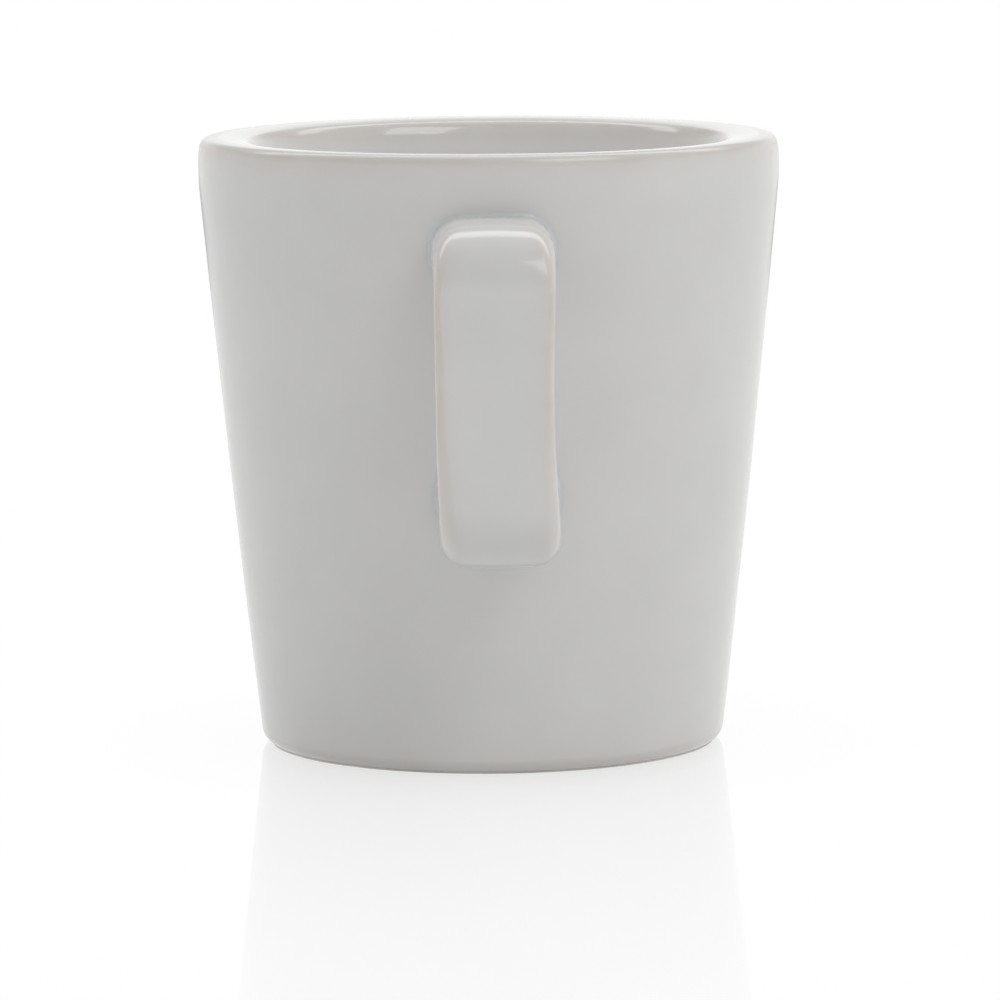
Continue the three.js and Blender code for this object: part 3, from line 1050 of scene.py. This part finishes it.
makeClayBody()
makeHandleCore()
makeCollar("upper_slip_collar", roots[0], "upper_handle_joint", True)
makeCollar("lower_slip_collar", roots[1], "lower_handle_joint", False)
makeOutsideCoat()
makeInsideCoat()
makeBaseCoat()
print("mug pieces ready")

scene = bpy.context.scene
scene.view_settings.view_transform = "Standard"

white = (1, 1, 1, 1)


def plainGrey(level):
    return (level, level, level, 1)


# White sheet that the mug stands on. The camera sees it white, with the mug's shadow and its fading mirror
# image. The glaze mirrors it with a dark gap behind the mug, where the sheet ends and the backdrop begins.
sheet = {
    "size": 6.0,
    "bounce": 0.8,  # the white that lights the mug from below
    "shade": 0.12,  # share of the sheet by the mug that takes shadow, and how far off it ends
    "shadeTo": 0.07,
    "shadeColour": 0.8,
    "mirrorIor": 1.5,  # the sheet mirrors as polished plastic does, and less so further from the mug
    "mirror": 0.875,
    "mirrorFade": 0.18,
    "mirrorRough": 0.04,
    "sheetEnd": (0.55, 0.82),  # distances behind the mug over which the mirrored white turns dark
    "backdrop": (1.2, 1.5),  # and over which it turns white again
    "dark": 0.4,
    "darkAside": (0.16, 0.3),  # the gap fades out between these distances to either side
}


def anyOf(tree, *flags):
    total = flags[0]
    for flag in flags[1:]:
        total = calc(tree, "ADD", total, flag, True)
    return total


def makeSheet():
    half = sheet["size"] / 2
    corners = [(-half, -half, 0), (half, -half, 0), (half, half, 0), (-half, half, 0)]
    mesh = bpy.data.meshes.new("white_sheet")
    mesh.from_pydata(corners, [], [(0, 1, 2, 3)])
    finish = bpy.data.materials.new("white_sheet")
    finish.use_nodes = True
    finish.cycles.emission_sampling = "NONE"
    tree = finish.node_tree
    tree.nodes.clear()
    output = addNode(tree, "ShaderNodeOutputMaterial")
    path = addNode(tree, "ShaderNodeLightPath").outputs
    where = addNode(tree, "ShaderNodeTexCoord").outputs["Object"]
    away = addNode(tree, "ShaderNodeVectorMath", operation="DISTANCE")
    feed(tree, away.inputs[0], where)
    feed(tree, away.inputs[1], (0, axisY, 0))
    away = away.outputs["Value"]
    parted = addNode(tree, "ShaderNodeSeparateXYZ")
    feed(tree, parted.inputs[0], where)
    behind = parted.outputs["Y"]
    ending = mapRange(tree, behind, *sheet["sheetEnd"], 1.0, sheet["dark"], "SMOOTHSTEP")
    backdrop = mapRange(tree, behind, *sheet["backdrop"], sheet["dark"], 1.0, "SMOOTHSTEP")
    dim = calc(tree, "MAXIMUM", ending, backdrop)
    aside = calc(tree, "ABSOLUTE", parted.outputs["X"])
    dim = calc(tree, "MAXIMUM", dim, mapRange(tree, aside, *sheet["darkAside"], 0.0, 1.0, "SMOOTHSTEP"))
    level = mixColour(tree, path["Is Glossy Ray"], white, dim)
    glow = addNode(tree, "ShaderNodeEmission")
    feed(tree, glow.inputs["Color"], level)
    shade = addNode(tree, "ShaderNodeBsdfDiffuse")
    feed(tree, shade.inputs["Color"], plainGrey(sheet["shadeColour"]))
    seen = addNode(tree, "ShaderNodeMixShader")
    feed(tree, seen.inputs[0], mapRange(tree, away, 0.0, sheet["shadeTo"], sheet["shade"], 0.0))
    feed(tree, seen.inputs[1], glow.outputs[0])
    feed(tree, seen.inputs[2], shade.outputs[0])
    mirror = addNode(tree, "ShaderNodeBsdfGlossy")
    feed(tree, mirror.inputs["Color"], white)
    feed(tree, mirror.inputs["Roughness"], sheet["mirrorRough"])
    fade = calc(tree, "EXPONENT", calc(tree, "DIVIDE", away, -sheet["mirrorFade"]))
    shine = addNode(tree, "ShaderNodeFresnel")
    feed(tree, shine.inputs["IOR"], sheet["mirrorIor"])
    share = calc(tree, "MULTIPLY", fade, calc(tree, "MULTIPLY", shine.outputs[0], sheet["mirror"]))
    polished = addNode(tree, "ShaderNodeMixShader")
    feed(tree, polished.inputs[0], calc(tree, "MULTIPLY", share, path["Is Camera Ray"]))
    feed(tree, polished.inputs[1], seen.outputs[0])
    feed(tree, polished.inputs[2], mirror.outputs[0])
    bounce = addNode(tree, "ShaderNodeBsdfDiffuse")
    feed(tree, bounce.inputs["Color"], plainGrey(sheet["bounce"]))
    final = addNode(tree, "ShaderNodeMixShader")
    flags = anyOf(tree, path["Is Camera Ray"], path["Is Glossy Ray"], path["Is Transmission Ray"])
    feed(tree, final.inputs[0], flags)
    feed(tree, final.inputs[1], bounce.outputs[0])
    feed(tree, final.inputs[2], polished.outputs[0])
    feed(tree, output.inputs["Surface"], final.outputs[0])
    mesh.materials.append(finish)
    floor = bpy.data.objects.new("white_sheet", mesh)
    scene.collection.objects.link(floor)


# White room: plain light on the mug, white where it is seen, and mirrored with a grey ceiling
room = {
    "fill": 0.37,
    "ceiling": 0.3,
    "whiteTo": 10,  # degrees up from the horizon
    "ceilingFrom": 26,
}


def makeRoom():
    world = bpy.data.worlds.new("white_room")
    world.use_nodes = True
    scene.world = world
    tree = world.node_tree
    tree.nodes.clear()
    path = addNode(tree, "ShaderNodeLightPath").outputs
    fill = addNode(tree, "ShaderNodeBackground")
    feed(tree, fill.inputs["Color"], white)
    feed(tree, fill.inputs["Strength"], room["fill"])
    seen = addNode(tree, "ShaderNodeBackground")
    toward = addNode(tree, "ShaderNodeSeparateXYZ")
    feed(tree, toward.inputs[0], addNode(tree, "ShaderNodeTexCoord").outputs["Generated"])
    rises = [math.sin(math.radians(room[name])) for name in ("whiteTo", "ceilingFrom")]
    above = mapRange(tree, toward.outputs["Z"], *rises, 1.0, room["ceiling"], "SMOOTHSTEP")
    feed(tree, seen.inputs["Color"], mixColour(tree, path["Is Glossy Ray"], white, above))
    final = addNode(tree, "ShaderNodeMixShader")
    flags = anyOf(tree, path["Is Camera Ray"], path["Is Glossy Ray"], path["Is Transmission Ray"])
    feed(tree, final.inputs[0], flags)
    feed(tree, final.inputs[1], fill.outputs[0])
    feed(tree, final.inputs[2], seen.outputs[0])
    output = addNode(tree, "ShaderNodeOutputWorld")
    feed(tree, output.inputs["Surface"], final.outputs[0])


# Soft boxes, placed round the mug: azimuth 0 is the camera's side and 90 is to its right. The glaze shows
# only those that are mirrored.
softBoxes = {
    "key_box": {
        "azimuth": 42,
        "elevation": 48,
        "distance": 1.1,
        "size": (0.55, 0.5),
        "power": 2.4,
        "mirrored": True,
    },
    "right_wall": {
        "azimuth": 75,
        "elevation": 18,
        "distance": 1.1,
        "size": (1.0, 0.6),
        "power": 1.45,
        "mirrored": False,
    },
    "left_wall": {
        "azimuth": -60,
        "elevation": 18,
        "distance": 1.1,
        "size": (1.0, 0.6),
        "power": 1.65,
        "mirrored": False,
    },
    "top_strip": {
        "azimuth": 180,
        "elevation": 57,
        "distance": 1.3,
        "size": (3.0, 0.42),
        "power": 8.2,
        "mirrored": True,
    },
    "overhead": {
        "azimuth": 180,
        "elevation": 57,
        "distance": 1.3,
        "size": (2.0, 0.42),
        "power": 2.5,
        "mirrored": False,
    },
}
aimHeight = 50 * mm
boxAim = Vector((0, axisY, aimHeight))


def makeSoftBoxes():
    for name, box in softBoxes.items():
        lamp = bpy.data.lights.new(name, "AREA")
        lamp.shape = "RECTANGLE"
        lamp.size, lamp.size_y = box["size"]
        lamp.energy = box["power"]
        azimuth, elevation = math.radians(box["azimuth"]), math.radians(box["elevation"])
        level = math.cos(elevation)
        away = Vector((math.sin(azimuth) * level, -math.cos(azimuth) * level, math.sin(elevation)))
        lampObject = bpy.data.objects.new(name, lamp)
        lampObject.location = boxAim + away * box["distance"]
        lampObject.rotation_euler = away.to_track_quat("Z", "Y").to_euler()
        lampObject.visible_camera = False
        lampObject.visible_glossy = box["mirrored"]
        scene.collection.objects.link(lampObject)


camera = {
    "distance": 1008.15 * mm,
    "height": 166.38 * mm,
    "aside": 1.395 * mm,
    "turn": -0.95,  # degrees round the mug's axis
    "pitch": 7.2757,
    "roll": -0.4366,
    "lens": 232.725,
    "sensor": 36,
}


def makeCamera():
    data = bpy.data.cameras.new("camera")
    data.lens = camera["lens"]
    data.sensor_width = camera["sensor"]
    shooter = bpy.data.objects.new("camera", data)
    stand = Matrix.Translation((camera["aside"], -camera["distance"], camera["height"]))
    tilt = Matrix.Rotation(quarterTurn - math.radians(camera["pitch"]), 4, "X")
    roll = Matrix.Rotation(math.radians(camera["roll"]), 4, "Z")
    turned = Matrix.Rotation(math.radians(camera["turn"]), 4, "Z")
    shooter.matrix_world = Matrix.Translation((0, axisY, 0)) @ turned @ stand @ tilt @ roll
    scene.collection.objects.link(shooter)
    scene.camera = shooter


makeSheet()
makeRoom()
makeSoftBoxes()
makeCamera()
print("stage ready")
